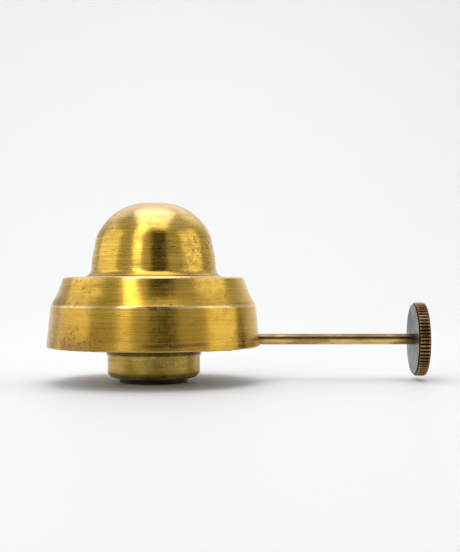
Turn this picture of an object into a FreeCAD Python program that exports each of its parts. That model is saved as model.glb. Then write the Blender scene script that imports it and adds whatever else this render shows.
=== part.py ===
import FreeCAD, Part
import math
import os

import Sketcher

# Flat-wick spirit burner head, in millimetres.
# Origin: burner axis on the resting plane (underside of the neck gasket).
# +Z up, +X along the wick spindle towards the knob, the front of the burner faces -Y.

doc = FreeCAD.newDocument("spirit_burner")

SIZES = [
    # overall
    ("crown_height", 49.0),
    ("rim_radius", 29.12),
    ("spigot_radius", 12.65),
    ("knob_radius", 10.2),
    ("knob_floor_gap", 1.2),
    ("knob_inner_x", 71.9),
    ("spindle_radius", 1.5),
    ("wick_width", 14.8),
    ("wick_thick", 3.0),
    # fits shared by several parts
    ("running_gap", 0.05),
    ("free_gap", 0.3),
    ("end_play", 0.2),
    # hood: a spun shell, corners of its outline measured from the crown, the step and the rim
    ("hood_wall", 1.0),
    ("rim_height", 9.8),
    ("rim_round", 0.3),
    ("crown_corner_radius", 10.25),
    ("crown_round", 14.0),
    ("shoulder_corner_radius", 15.6),
    ("shoulder_drop", 8.6),
    ("shoulder_round", 8.0),
    ("belly_radius", 16.78),
    ("belly_drop", 14.6),
    ("belly_round", 25.0),
    ("dome_rise", 20.3),
    ("dome_foot_radius", 17.36),
    ("foot_round", 2.45),
    ("step_edge_inset", 4.5),
    ("step_edge_round", 0.75),
    ("flare_inset", 3.05),
    ("flare_drop", 4.52),
    ("flare_round", 25.0),
    ("skirt_top_inset", 1.14),
    ("skirt_top_drop", 7.7),
    ("skirt_round", 1.0),
    ("flame_slot_width", 6.0),
    ("flame_slot_depth", 9.4),
    ("flame_slot_turn", 8.0),
    ("notch_gap", 0.8),
    # neck cup, its lid, sleeve and gasket
    ("sheet_cup", 0.7),
    ("cup_floor", 0.8),
    ("cup_round", 2.0),
    ("cup_inner_round", 1.3),
    ("cup_flange", 1.55),
    ("housing_step", 0.3),
    ("cup_flange_thick", 0.6),
    ("cup_flange_round", 0.3),
    ("gasket_height", 1.3),
    ("gasket_width", 1.05),
    ("gasket_round", 0.28),
    ("sleeve_wall", 0.4),
    ("sleeve_lift", 0.25),
    ("sleeve_flange", 0.9),
    ("sleeve_flange_thick", 0.6),
    ("lid_thick", 0.7),
    ("lid_overlap", 1.05),
    ("lid_lip", 0.6),
    ("lid_round", 0.3),
    ("lid_lip_gap", 0.36),
    ("vent_radius", 1.2),
    ("vent_wall", 0.35),
    ("vent_offset", 6.6),
    ("vent_below", 1.0),
    ("vent_above", 6.5),
    # wick and its tube
    ("tube_wall", 0.5),
    ("tube_top_drop", 8.9),
    ("wick_above_tube", 1.0),
    ("wick_bottom", 6.0),
    ("wheel_tip_radius", 3.5),
    ("wheel_thick", 1.2),
    ("wheel_bite", 0.6),
    ("window_gap", 0.4),
    # spindle, bearings and gland
    ("journal_radius", 1.0),
    ("bush_wall", 1.35),
    ("bush_reach_out", 0.75),
    ("bush_tube_gap", 0.8),
    ("bush_end", 0.8),
    ("gland_wall", 0.5),
    ("packing_width", 0.6),
    ("packing_length", 2.4),
    ("gland_tube_gap", 0.6),
    ("gland_length", 10.7),
    ("gland_bore_length", 6.2),
    ("collar_width", 0.65),
    ("collar_length", 1.3),
    ("nut_wall", 1.0),
    ("nut_start", 7.8),
    ("nut_length", 4.9),
    ("nut_chamfer", 0.5),
    ("nut_seat_gap", 0.1),
    ("gland_headroom", 2.16),
    # knob
    ("knob_thick", 3.3),
    ("knob_bevel", 0.55),
    ("knob_round", 0.6),
    ("knob_rim_width", 1.7),
    ("knob_dish", 1.4),
    ("knob_boss_radius", 2.7),
    ("knob_boss_sink", 0.4),
    ("tenon_radius", 1.3),
    ("tenon_proud", 0.2),
    ("knurl_count", 64),
    ("knurl_depth", 0.36),
    ("knurl_half_width", 0.45),
    ("knurl_overcut", 0.045),
    # draught basket with its clips and rivets
    ("basket_sheet", 0.6),
    ("basket_inset", 1.84),
    ("basket_lip", 0.6),
    ("basket_round", 1.0),
    ("basket_inner_round", 0.4),
    ("port_count", 18),
    ("port_radius_small", 1.0),
    ("port_radius_large", 1.3),
    ("port_ring_inset_small", 7.0),
    ("port_ring_inset_large", 3.6),
    ("louvre_half_width", 1.1),
    ("louvre_floor", 2.6),
    ("louvre_top_drop", 2.2),
    ("clip_count", 3),
    ("clip_first_angle", 60.0),
    ("clip_sheet", 0.35),
    ("clip_angle", 10.5),
    ("clip_foot_rise", 1.8),
    ("clip_foot_height", 2.6),
    ("clip_bow", 1.9),
    ("clip_bow_rise", 7.3),
    ("clip_tail", 1.0),
    ("clip_tail_rise", 9.5),
    ("clip_round", 0.8),
    ("rivet_rise", 3.0),
    ("rivet_radius", 0.7),
    ("rivet_head_radius", 1.3),
    ("rivet_head_thick", 0.55),
    ("rivet_head_round", 0.4),
    # length that cutting tools run past the metal
    ("tool_past", 1.0),
]

DERIVED = [
    ("shoulder_corner_z", "crown_height - shoulder_drop"),
    ("belly_z", "crown_height - belly_drop"),
    ("step_height", "crown_height - dome_rise"),
    ("step_edge_radius", "rim_radius - step_edge_inset"),
    ("flare_radius", "rim_radius - flare_inset"),
    ("flare_z", "step_height - flare_drop"),
    ("skirt_top_radius", "rim_radius - skirt_top_inset"),
    ("skirt_top_z", "step_height - skirt_top_drop"),
    ("slot_half", "flame_slot_width / 2"),
    ("slot_floor_z", "crown_height - flame_slot_depth"),
    ("slot_round_z", "slot_floor_z + slot_half"),
    ("slot_roof_z", "crown_height + tool_past"),
    ("spindle_z", "knob_radius + knob_floor_gap"),
    ("wheel_tip_y", "wick_thick / 2 - wheel_bite"),
    ("spindle_y", "wheel_tip_y + wheel_tip_radius"),
    ("wheel_x", "wick_width / 4"),
    ("notch_half", "spindle_radius + notch_gap"),
    ("notch_floor_z", "rim_height - tool_past"),
    # wick, tube, sleeve, gasket
    ("wick_half", "wick_width / 2"),
    ("wick_half_thick", "wick_thick / 2"),
    ("tube_inner_half", "wick_half + free_gap"),
    ("tube_inner_half_thick", "wick_half_thick + free_gap"),
    ("tube_half", "tube_inner_half + tube_wall"),
    ("tube_half_thick", "tube_inner_half_thick + tube_wall"),
    ("tube_top_z", "crown_height - tube_top_drop"),
    ("wick_top_z", "tube_top_z + wick_above_tube"),
    ("sleeve_bore", "tube_half - free_gap"),
    ("sleeve_radius", "sleeve_bore + sleeve_wall"),
    ("sleeve_flange_radius", "sleeve_radius + sleeve_flange"),
    ("gasket_radius", "sleeve_radius + gasket_width"),
    ("cup_floor_z", "gasket_height + cup_floor"),
    ("tube_foot_z", "cup_floor_z + sleeve_flange_thick"),
    ("tube_length", "tube_top_z - tube_foot_z"),
    ("wick_length", "wick_top_z - wick_bottom"),
    ("track_floor_y", "wheel_tip_y - free_gap"),
    ("track_half", "wheel_thick / 2 + free_gap"),
    ("window_half", "wheel_thick / 2 + window_gap"),
    ("window_half_height", "wheel_tip_radius"),
    # cup and lid
    ("gland_cavity", "spindle_radius + packing_width"),
    ("gland_radius", "gland_cavity + gland_wall"),
    ("nut_corner_radius", "gland_radius + nut_wall"),
    ("cup_top_z", "spindle_z + gland_radius + gland_headroom"),
    ("cup_bore", "spigot_radius - sheet_cup"),
    ("cup_flange_radius", "spigot_radius + cup_flange"),
    ("housing_radius", "spigot_radius + housing_step"),
    ("housing_z", "spindle_z - nut_corner_radius - free_gap"),
    ("cup_flange_z", "cup_top_z - cup_flange_thick"),
    ("plate_top_z", "cup_top_z + basket_sheet"),
    ("lid_top_z", "plate_top_z + lid_thick"),
    ("lid_radius", "cup_bore + lid_overlap"),
    ("lid_lip_bore", "cup_bore - lid_lip"),
    ("lid_lip_z", "spindle_z + gland_radius + lid_lip_gap"),
    ("vent_bore", "vent_radius - vent_wall"),
    ("vent_foot_z", "plate_top_z - vent_below"),
    ("vent_length", "vent_below + vent_above"),
    # spindle run, along x from the burner axis
    ("bush_radius", "journal_radius + bush_wall"),
    ("bush_bore", "journal_radius + running_gap"),
    ("bush_outer_x", "-(spigot_radius + bush_reach_out)"),
    ("bush_inner_x", "-(tube_half + bush_tube_gap)"),
    ("bush_floor_x", "bush_outer_x + bush_end"),
    ("journal_end_x", "bush_floor_x + end_play"),
    ("journal_shoulder_x", "bush_inner_x + end_play"),
    ("gland_bore", "spindle_radius + running_gap"),
    ("gland_inner_x", "tube_half + gland_tube_gap"),
    ("gland_outer_x", "gland_inner_x + gland_length"),
    ("gland_seat_x", "gland_inner_x + gland_bore_length"),
    ("packing_end_x", "gland_seat_x + packing_length"),
    ("collar_radius", "spindle_radius + collar_width"),
    ("collar_end_x", "gland_inner_x - end_play"),
    ("collar_start_x", "collar_end_x - collar_length"),
    ("nut_start_x", "gland_inner_x + nut_start"),
    ("nut_end_x", "nut_start_x + nut_length"),
    ("nut_chamfer_x", "nut_end_x - nut_chamfer"),
    ("nut_chamfer_radius", "nut_corner_radius - nut_chamfer"),
    ("nut_bore", "spindle_radius + free_gap"),
    ("nut_roof_x", "gland_outer_x + nut_seat_gap"),
    ("nut_flat", "nut_corner_radius * cos(30 deg)"),
    ("nut_flat_low", "-nut_flat"),
    ("nut_corner_low", "-nut_corner_radius"),
    ("nut_mid", "nut_corner_radius / 2"),
    ("nut_mid_low", "-nut_mid"),
    ("nut_blank", "nut_corner_radius + tool_past"),
    # knob
    ("knob_outer_x", "knob_inner_x + knob_thick"),
    ("knob_bevel_x", "knob_inner_x + knob_bevel"),
    ("knob_bevel_radius", "knob_radius - knob_bevel"),
    ("knob_rim_bore", "knob_radius - knob_rim_width"),
    ("knob_dish_x", "knob_outer_x - knob_dish"),
    ("knob_boss_x", "knob_outer_x - knob_boss_sink"),
    ("tenon_end_x", "knob_boss_x + tenon_proud"),
    ("knurl_root", "knob_radius - knurl_depth"),
    ("knurl_left", "-knurl_half_width"),
    ("knurl_out", "knob_radius + knurl_overcut"),
    # basket
    ("basket_radius", "step_edge_radius - basket_inset"),
    ("basket_bore", "basket_radius - basket_sheet"),
    ("basket_lip_radius", "basket_radius + basket_lip"),
    ("basket_top_z", "step_height - hood_wall"),
    ("basket_lip_z", "basket_top_z - basket_sheet"),
    ("port_ring_small", "basket_radius - port_ring_inset_small"),
    ("port_ring_large", "basket_radius - port_ring_inset_large"),
    ("louvre_floor_z", "cup_top_z + louvre_floor + louvre_half_width"),
    ("louvre_top_z", "basket_top_z - louvre_top_drop - louvre_half_width"),
    ("clip_inner", "basket_radius"),
    ("clip_outer", "basket_radius + clip_sheet"),
    ("clip_foot_z", "cup_top_z + clip_foot_rise"),
    ("clip_bend_z", "clip_foot_z + clip_foot_height"),
    ("clip_bow_outer", "basket_radius + clip_bow"),
    ("clip_bow_inner", "clip_bow_outer - clip_sheet"),
    ("clip_bow_z", "cup_top_z + clip_bow_rise"),
    ("clip_tail_outer", "basket_radius + clip_tail"),
    ("clip_tail_inner", "clip_tail_outer - clip_sheet"),
    ("clip_tail_z", "cup_top_z + clip_tail_rise"),
    ("rivet_z", "cup_top_z + rivet_rise"),
    ("rivet_in_start", "basket_bore - rivet_head_thick"),
    ("rivet_out_end", "clip_outer + rivet_head_thick"),
    ("rivet_head_z", "rivet_z + rivet_head_radius"),
    ("rivet_shank_z", "rivet_z + rivet_radius"),
    ("vent_y", "-vent_offset"),
    ("window_middle", "spindle_z - tube_foot_z"),
    ("window_low", "window_middle - window_half_height"),
    ("window_high", "window_middle + window_half_height"),
    ("window_left_a", "-wheel_x - window_half"),
    ("window_left_b", "-wheel_x + window_half"),
    ("window_right_a", "wheel_x - window_half"),
    ("window_right_b", "wheel_x + window_half"),
    ("track_left_a", "-wheel_x - track_half"),
    ("track_left_b", "-wheel_x + track_half"),
    ("track_right_a", "wheel_x - track_half"),
    ("track_right_b", "wheel_x + track_half"),
    ("track_past_y", "wick_half_thick + tool_past"),
    ("wheel_left_x", "-wheel_x - wheel_thick / 2"),
    ("wheel_right_x", "wheel_x - wheel_thick / 2"),
    ("louvre_left", "-louvre_half_width"),
    ("louvre_low_z", "louvre_floor_z - louvre_half_width"),
    ("louvre_high_z", "louvre_top_z + louvre_half_width"),
]

FULL_TURN = 360
# a cut that takes away less than this many cubic millimetres has missed the part
LEAST_CUT = 0.000001

sheet = doc.addObject("Spreadsheet::Sheet", "Sizes")
row = 1
for alias, value in SIZES:
    sheet.set("A%d" % row, alias)
    sheet.set("B%d" % row, str(value))
    sheet.setAlias("B%d" % row, alias)
    row = row + 1
for alias, formula in DERIVED:
    sheet.set("A%d" % row, alias)
    sheet.set("B%d" % row, "=" + formula)
    sheet.setAlias("B%d" % row, alias)
    row = row + 1
doc.recompute()


def size(name):
    """The value of a size, or 0 for the axis."""
    return 0.0 if name == 0 else float(sheet.get(name))


def bind(obj, prop, name):
    """Drives a property by a size of the sheet."""
    obj.setExpression(prop, "Sizes." + name)


def new_body(label, x=0, y=0, z=0):
    """A body with its own label, set out at sizes of the sheet."""
    body = doc.addObject("PartDesign::Body", label)
    body.Label = label
    for axis, name in (("x", x), ("y", y), ("z", z)):
        if name != 0:
            bind(body, ".Placement.Base." + axis, name)
    return body


def new_sketch(body, name, plane):
    """A sketch on one of the body's own origin planes."""
    sketch = body.newObject("Sketcher::SketchObject", name)
    support = [f for f in body.Origin.OriginFeatures if f.Role == plane][0]
    sketch.AttachmentSupport = (support, [""])
    sketch.MapMode = "FlatFace"
    return sketch


def drive(sketch, index, name):
    """Drives a constraint by a size of the sheet."""
    if name != 0:
        sketch.setExpression("Constraints[%d]" % index, "Sizes." + name)


def fix_point(sketch, geometry, end, across, up):
    """Ties a point to the sketch origin by two sizes."""
    index = sketch.addConstraint(Sketcher.Constraint("DistanceX", -1, 1, geometry, end, size(across)))
    drive(sketch, index, across)
    index = sketch.addConstraint(Sketcher.Constraint("DistanceY", -1, 1, geometry, end, size(up)))
    drive(sketch, index, up)


def unit(a, b):
    """Unit vector from a to b."""
    step = b.sub(a)
    return step.multiply(1.0 / step.Length)


def corner_arc(before, corner, after, radius):
    """Centre and both tangent points of a round of the given radius in a corner."""
    back = unit(corner, before)
    ahead = unit(corner, after)
    half = back.getAngle(ahead) / 2
    reach = radius / math.tan(half)
    start = corner.add(FreeCAD.Vector(back).multiply(reach))
    end = corner.add(FreeCAD.Vector(ahead).multiply(reach))
    middle = FreeCAD.Vector(back).add(ahead)
    middle.normalize()
    centre = corner.add(middle.multiply(radius / math.sin(half)))
    return centre, start, end


def add_arc(sketch, centre, start, end):
    """Adds the short arc from start to end; returns it with the numbers of its two ends."""
    from_centre = start.sub(centre)
    to_centre = end.sub(centre)
    turn = from_centre.cross(to_centre).z
    circle = Part.Circle(centre, FreeCAD.Vector(0, 0, 1), from_centre.Length)
    first = math.atan2(from_centre.y, from_centre.x)
    last = math.atan2(to_centre.y, to_centre.x)
    if turn > 0:
        return sketch.addGeometry(Part.ArcOfCircle(circle, first, last), False), 1, 2
    return sketch.addGeometry(Part.ArcOfCircle(circle, last, first), False), 2, 1


def outline(sketch, corners):
    """A closed outline of (across, up) or (across, up, round) corners, every corner tied to sizes."""
    count = len(corners)
    places = [FreeCAD.Vector(size(c[0]), size(c[1]), 0) for c in corners]
    rounds = [c[2] if len(c) > 2 else None for c in corners]
    arcs = []
    for i in range(count):
        if rounds[i] is None:
            arcs.append(None)
        else:
            arcs.append(corner_arc(places[i - 1], places[i], places[(i + 1) % count], size(rounds[i])))
    lines = []
    for i in range(count):
        after = (i + 1) % count
        start = places[i] if arcs[i] is None else arcs[i][2]
        end = places[after] if arcs[after] is None else arcs[after][1]
        lines.append(sketch.addGeometry(Part.LineSegment(start, end), False))
    for i in range(count):
        before = lines[i - 1]
        after = lines[i]
        if arcs[i] is None:
            sketch.addConstraint(Sketcher.Constraint("Coincident", before, 2, after, 1))
            fix_point(sketch, after, 1, corners[i][0], corners[i][1])
        else:
            arc, first, last = add_arc(sketch, *arcs[i])
            sketch.addConstraint(Sketcher.Constraint("Tangent", before, 2, arc, first))
            sketch.addConstraint(Sketcher.Constraint("Tangent", arc, last, after, 1))
            index = sketch.addConstraint(Sketcher.Constraint("Radius", arc, size(rounds[i])))
            drive(sketch, index, rounds[i])
            point = sketch.addGeometry(Part.Point(places[i]), True)
            fix_point(sketch, point, 1, corners[i][0], corners[i][1])
            sketch.addConstraint(Sketcher.Constraint("PointOnObject", point, 1, before))
            sketch.addConstraint(Sketcher.Constraint("PointOnObject", point, 1, after))


def circle(sketch, across, up, radius):
    """A circle set out from the sketch origin."""
    place = FreeCAD.Vector(size(across), size(up), 0)
    shape = Part.Circle(place, FreeCAD.Vector(0, 0, 1), size(radius))
    ring = sketch.addGeometry(shape, False)
    fix_point(sketch, ring, 3, across, up)
    index = sketch.addConstraint(Sketcher.Constraint("Radius", ring, size(radius)))
    drive(sketch, index, radius)


def oblong(sketch, half_length, half_width):
    """A flat oval centred on the sketch origin, long side across."""
    length = size(half_length)
    width = size(half_width)
    reach = length - width
    up = FreeCAD.Vector(0, 0, 1)
    shift = FreeCAD.Vector(reach, 0, 0)
    rise = FreeCAD.Vector(0, width, 0)
    top = sketch.addGeometry(Part.LineSegment(rise + shift, rise - shift))
    low = sketch.addGeometry(Part.LineSegment(-rise - shift, shift - rise))
    left_circle = Part.Circle(-shift, up, width)
    left = sketch.addGeometry(Part.ArcOfCircle(left_circle, math.pi / 2, 3 * math.pi / 2))
    right_circle = Part.Circle(shift, up, width)
    right = sketch.addGeometry(Part.ArcOfCircle(right_circle, -math.pi / 2, math.pi / 2))
    sketch.addConstraint(Sketcher.Constraint("Tangent", top, 2, left, 1))
    sketch.addConstraint(Sketcher.Constraint("Tangent", left, 2, low, 1))
    sketch.addConstraint(Sketcher.Constraint("Tangent", low, 2, right, 1))
    sketch.addConstraint(Sketcher.Constraint("Tangent", right, 2, top, 1))
    sketch.addConstraint(Sketcher.Constraint("Horizontal", top))
    sketch.addConstraint(Sketcher.Constraint("Symmetric", left, 3, right, 3, -1, 1))
    index = sketch.addConstraint(Sketcher.Constraint("Radius", right, width))
    drive(sketch, index, half_width)
    index = sketch.addConstraint(Sketcher.Constraint("DistanceX", -1, 1, right, 3, reach))
    sketch.setExpression("Constraints[%d]" % index, "Sizes.%s - Sizes.%s" % (half_length, half_width))


def round_ended(sketch, across, up, half, far):
    """A round end centred across and up, its two straight sides running up or down to the level far."""
    middle = size(across)
    level = size(up)
    width = size(half)
    end_level = size(far)
    ring = Part.Circle(FreeCAD.Vector(middle, level, 0), FreeCAD.Vector(0, 0, 1), width)
    if end_level > level:
        first = math.pi
        side = width
    else:
        first = 0.0
        side = -width
    near = FreeCAD.Vector(middle + side, level, 0)
    near_end = FreeCAD.Vector(middle + side, end_level, 0)
    back_end = FreeCAD.Vector(middle - side, end_level, 0)
    back = FreeCAD.Vector(middle - side, level, 0)
    arc = sketch.addGeometry(Part.ArcOfCircle(ring, first, first + math.pi), False)
    out = sketch.addGeometry(Part.LineSegment(near, near_end), False)
    top = sketch.addGeometry(Part.LineSegment(near_end, back_end), False)
    home = sketch.addGeometry(Part.LineSegment(back_end, back), False)
    sketch.addConstraint(Sketcher.Constraint("Tangent", arc, 2, out, 1))
    sketch.addConstraint(Sketcher.Constraint("Coincident", out, 2, top, 1))
    sketch.addConstraint(Sketcher.Constraint("Coincident", top, 2, home, 1))
    sketch.addConstraint(Sketcher.Constraint("Tangent", home, 2, arc, 1))
    sketch.addConstraint(Sketcher.Constraint("Horizontal", top))
    fix_point(sketch, arc, 3, across, up)
    index = sketch.addConstraint(Sketcher.Constraint("Radius", arc, width))
    drive(sketch, index, half)
    index = sketch.addConstraint(Sketcher.Constraint("DistanceY", -1, 1, out, 2, end_level))
    drive(sketch, index, far)


def turn_about_z(sketch, formula):
    """Turns a sketch on an upright origin plane about the z axis by a formula in degrees."""
    start = FreeCAD.Rotation(FreeCAD.Vector(0, 1, 0), 1)
    sketch.AttachmentOffset = FreeCAD.Placement(FreeCAD.Vector(), start)
    sketch.setExpression("AttachmentOffset.Rotation.Angle", formula)


def revolve(body, sketch, axis, name, angle=None):
    """Turns a sketch about one of its axes, all the way round or by a size."""
    turned = body.newObject("PartDesign::Revolution", name)
    turned.Profile = sketch
    turned.ReferenceAxis = (sketch, [axis])
    turned.Angle = FULL_TURN
    if angle is not None:
        turned.Midplane = True
        bind(turned, "Angle", angle)
    body.Tip = turned
    return turned


def turned_body(label, corners, axis="V_Axis", x=0, y=0, z=0):
    """A lathe part: a closed outline in the x-z plane turned about z, or about x with H_Axis."""
    body = new_body(label, x, y, z)
    sketch = new_sketch(body, label + "_outline", "XZ_Plane")
    outline(sketch, corners)
    revolve(body, sketch, axis, label + "_turned")
    return body


def pad(body, sketch, length, name):
    """Pads a sketch by a size."""
    feature = body.newObject("PartDesign::Pad", name)
    feature.Profile = sketch
    bind(feature, "Length", length)
    body.Tip = feature


def pocket(body, sketch, name, both=True, reverse=False):
    """Cuts a sketch right through, to both sides of its plane or to one."""
    doc.recompute()
    before = body.Shape.Volume
    feature = body.newObject("PartDesign::Pocket", name)
    feature.Profile = sketch
    feature.Type = "ThroughAll"
    if both:
        feature.Midplane = True
    feature.Reversed = reverse
    body.Tip = feature
    doc.recompute()
    if body.Shape.Volume > before - LEAST_CUT:
        raise RuntimeError(name + " removed nothing")
    return feature


def around(body, feature, axis, count, name):
    """Repeats a feature evenly round an axis of the body."""
    pattern = body.newObject("PartDesign::PolarPattern", name)
    pattern.Originals = [feature]
    origin_axis = [f for f in body.Origin.OriginFeatures if f.Role == axis][0]
    pattern.Axis = (origin_axis, [""])
    pattern.Angle = FULL_TURN
    pattern.Occurrences = int(size(count))
    bind(pattern, "Occurrences", count)
    body.Tip = pattern


# ---- flame hood -------------------------------------------------------------------------

def offset_line(a, b, gap):
    """The line a-b moved to its right by a gap."""
    along = unit(a, b)
    side = FreeCAD.Vector(along.y, -along.x, 0).multiply(gap)
    return a.add(side), b.add(side)


def crossing(first, second):
    """Where two straight lines cross."""
    p, q = first
    r, s = second
    u = q.sub(p)
    v = s.sub(r)
    share = r.sub(p).cross(v).z / u.cross(v).z
    return p.add(u.multiply(share))


HOOD_CORNERS = [
    (0, "crown_height", None),
    ("crown_corner_radius", "crown_height", "crown_round"),
    ("shoulder_corner_radius", "shoulder_corner_z", "shoulder_round"),
    ("belly_radius", "belly_z", "belly_round"),
    ("dome_foot_radius", "step_height", "foot_round"),
    ("step_edge_radius", "step_height", "step_edge_round"),
    ("flare_radius", "flare_z", "flare_round"),
    ("skirt_top_radius", "skirt_top_z", "skirt_round"),
    ("rim_radius", "rim_height", None),
]
# whether a round bulges outwards, so that the inner face has it smaller by the wall
HOOD_BULGES = [None, True, True, True, False, True, False, True, None]
HOOD_LEAST_ROUND = 0.1
LEVEL_TOLERANCE = 0.01


def side_lines(sketch, places, radii):
    """The straight runs and rounds of one face of the shell; returns the runs."""
    last = len(places) - 1
    arcs = [None] * len(places)
    for i in range(1, last):
        if radii[i] > HOOD_LEAST_ROUND:
            arcs[i] = corner_arc(places[i - 1], places[i], places[i + 1], radii[i])
    runs = []
    for i in range(last):
        start = places[i] if arcs[i] is None else arcs[i][2]
        end = places[i + 1] if arcs[i + 1] is None else arcs[i + 1][1]
        runs.append(sketch.addGeometry(Part.LineSegment(start, end), False))
    rounds = [None] * len(places)
    for i in range(1, last):
        if arcs[i] is None:
            sketch.addConstraint(Sketcher.Constraint("Coincident", runs[i - 1], 2, runs[i], 1))
        else:
            arc, first, end = add_arc(sketch, *arcs[i])
            sketch.addConstraint(Sketcher.Constraint("Tangent", runs[i - 1], 2, arc, first))
            sketch.addConstraint(Sketcher.Constraint("Tangent", arc, end, runs[i], 1))
            rounds[i] = sketch.addConstraint(Sketcher.Constraint("Radius", arc, radii[i]))
    return runs, rounds


hood = new_body("flame_hood")
hood_sketch = new_sketch(hood, "hood_outline", "XZ_Plane")
wall = size("hood_wall")
outer = [FreeCAD.Vector(size(c[0]), size(c[1]), 0) for c in HOOD_CORNERS]
outer_radii = [0.0 if c[2] is None else size(c[2]) for c in HOOD_CORNERS]
outer_runs, outer_rounds = side_lines(hood_sketch, outer, outer_radii)
fix_point(hood_sketch, outer_runs[0], 1, *HOOD_CORNERS[0][:2])
fix_point(hood_sketch, outer_runs[-1], 2, *HOOD_CORNERS[-1][:2])
for i in range(1, len(HOOD_CORNERS) - 1):
    drive(hood_sketch, outer_rounds[i], HOOD_CORNERS[i][2])
    mark = hood_sketch.addGeometry(Part.Point(outer[i]), True)
    fix_point(hood_sketch, mark, 1, *HOOD_CORNERS[i][:2])
    hood_sketch.addConstraint(Sketcher.Constraint("PointOnObject", mark, 1, outer_runs[i - 1]))
    hood_sketch.addConstraint(Sketcher.Constraint("PointOnObject", mark, 1, outer_runs[i]))

moved = [offset_line(outer[i], outer[i + 1], wall) for i in range(len(outer) - 1)]
inner = [moved[0][0]]
for i in range(1, len(moved)):
    inner.append(crossing(moved[i - 1], moved[i]))
rim_level = (outer[-1], outer[-1].add(FreeCAD.Vector(-1, 0, 0)))
inner.append(crossing(moved[-1], rim_level))
inner_radii = []
for i in range(len(outer)):
    if HOOD_BULGES[i] is None:
        inner_radii.append(0.0)
    elif HOOD_BULGES[i]:
        inner_radii.append(outer_radii[i] - wall)
    else:
        inner_radii.append(outer_radii[i] + wall)
inner_runs, inner_rounds = side_lines(hood_sketch, inner, inner_radii)
for i in range(len(inner_runs)):
    hood_sketch.addConstraint(Sketcher.Constraint("Parallel", inner_runs[i], outer_runs[i]))
    index = hood_sketch.addConstraint(Sketcher.Constraint("Distance", inner_runs[i], 1, outer_runs[i], wall))
    drive(hood_sketch, index, "hood_wall")
for i in range(len(inner_rounds)):
    if inner_rounds[i] is not None:
        sign = "-" if HOOD_BULGES[i] else "+"
        text = "Sizes.%s %s Sizes.hood_wall" % (HOOD_CORNERS[i][2], sign)
        hood_sketch.setExpression("Constraints[%d]" % inner_rounds[i], text)
axis_line = hood_sketch.addGeometry(Part.LineSegment(inner[0], outer[0]), False)
hood_sketch.addConstraint(Sketcher.Constraint("Coincident", axis_line, 1, inner_runs[0], 1))
hood_sketch.addConstraint(Sketcher.Constraint("Coincident", axis_line, 2, outer_runs[0], 1))
hood_sketch.addConstraint(Sketcher.Constraint("Vertical", axis_line))
rim_line = hood_sketch.addGeometry(Part.LineSegment(outer[-1], inner[-1]), False)
hood_sketch.addConstraint(Sketcher.Constraint("Coincident", rim_line, 1, outer_runs[-1], 2))
hood_sketch.addConstraint(Sketcher.Constraint("Coincident", rim_line, 2, inner_runs[-1], 2))
hood_sketch.addConstraint(Sketcher.Constraint("Horizontal", rim_line))
revolve(hood, hood_sketch, "V_Axis", "hood_spun")
doc.recompute()

hood_shell = hood.Tip
rim_fillet = hood.newObject("PartDesign::Fillet", "rim_edges")
rim_edges = []
for number, edge in enumerate(hood_shell.Shape.Edges, 1):
    box = edge.BoundBox
    if box.ZLength < LEVEL_TOLERANCE and abs(box.ZMin - size("rim_height")) < LEVEL_TOLERANCE:
        rim_edges.append("Edge%d" % number)
rim_fillet.Base = (hood_shell, rim_edges)
bind(rim_fillet, "Radius", "rim_round")
hood.Tip = rim_fillet

slot_sketch = new_sketch(hood, "flame_slot_outline", "YZ_Plane")
round_ended(slot_sketch, 0, "slot_round_z", "slot_half", "slot_roof_z")
turn_about_z(slot_sketch, "Sizes.flame_slot_turn")
pocket(hood, slot_sketch, "flame_slot")

notch_sketch = new_sketch(hood, "spindle_notch_outline", "YZ_Plane")
round_ended(notch_sketch, "spindle_y", "spindle_z", "notch_half", "notch_floor_z")
pocket(hood, notch_sketch, "spindle_notch", both=False, reverse=True)

# ---- neck cup, sleeve, gasket, lid, vent ------------------------------------------------

cup = turned_body(
    "neck_cup",
    [
        ("sleeve_radius", "gasket_height"),
        ("spigot_radius", "gasket_height", "cup_round"),
        ("spigot_radius", "housing_z"),
        ("housing_radius", "housing_z"),
        ("housing_radius", "cup_flange_z", "cup_flange_round"),
        ("cup_flange_radius", "cup_flange_z"),
        ("cup_flange_radius", "cup_top_z"),
        ("cup_bore", "cup_top_z"),
        ("cup_bore", "cup_floor_z", "cup_inner_round"),
        ("sleeve_radius", "cup_floor_z"),
    ],
)
gland_hole = new_sketch(cup, "gland_hole_outline", "YZ_Plane")
circle(gland_hole, "spindle_y", "spindle_z", "gland_radius")
pocket(cup, gland_hole, "gland_hole", both=False, reverse=True)
bush_hole = new_sketch(cup, "bush_hole_outline", "YZ_Plane")
circle(bush_hole, "spindle_y", "spindle_z", "bush_radius")
pocket(cup, bush_hole, "bush_hole", both=False, reverse=False)

turned_body(
    "neck_sleeve",
    [
        ("sleeve_bore", "sleeve_lift"),
        ("sleeve_radius", "sleeve_lift"),
        ("sleeve_radius", "cup_floor_z"),
        ("sleeve_flange_radius", "cup_floor_z"),
        ("sleeve_flange_radius", "tube_foot_z"),
        ("sleeve_bore", "tube_foot_z"),
    ],
)

turned_body(
    "neck_gasket",
    [
        ("sleeve_radius", 0),
        ("gasket_radius", 0, "gasket_round"),
        ("gasket_radius", "gasket_height", "gasket_round"),
        ("sleeve_radius", "gasket_height"),
    ],
)

lid = turned_body(
    "cup_lid",
    [
        (0, "plate_top_z"),
        ("lid_lip_bore", "plate_top_z"),
        ("lid_lip_bore", "lid_lip_z"),
        ("cup_bore", "lid_lip_z"),
        ("cup_bore", "plate_top_z"),
        ("lid_radius", "plate_top_z"),
        ("lid_radius", "lid_top_z", "lid_round"),
        (0, "lid_top_z"),
    ],
)
lid_opening = new_sketch(lid, "lid_tube_outline", "XY_Plane")
oblong(lid_opening, "tube_half", "tube_half_thick")
pocket(lid, lid_opening, "lid_tube_opening")
vent_hole = new_sketch(lid, "vent_hole_outline", "XY_Plane")
circle(vent_hole, 0, "vent_y", "vent_radius")
pocket(lid, vent_hole, "vent_hole")

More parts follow.
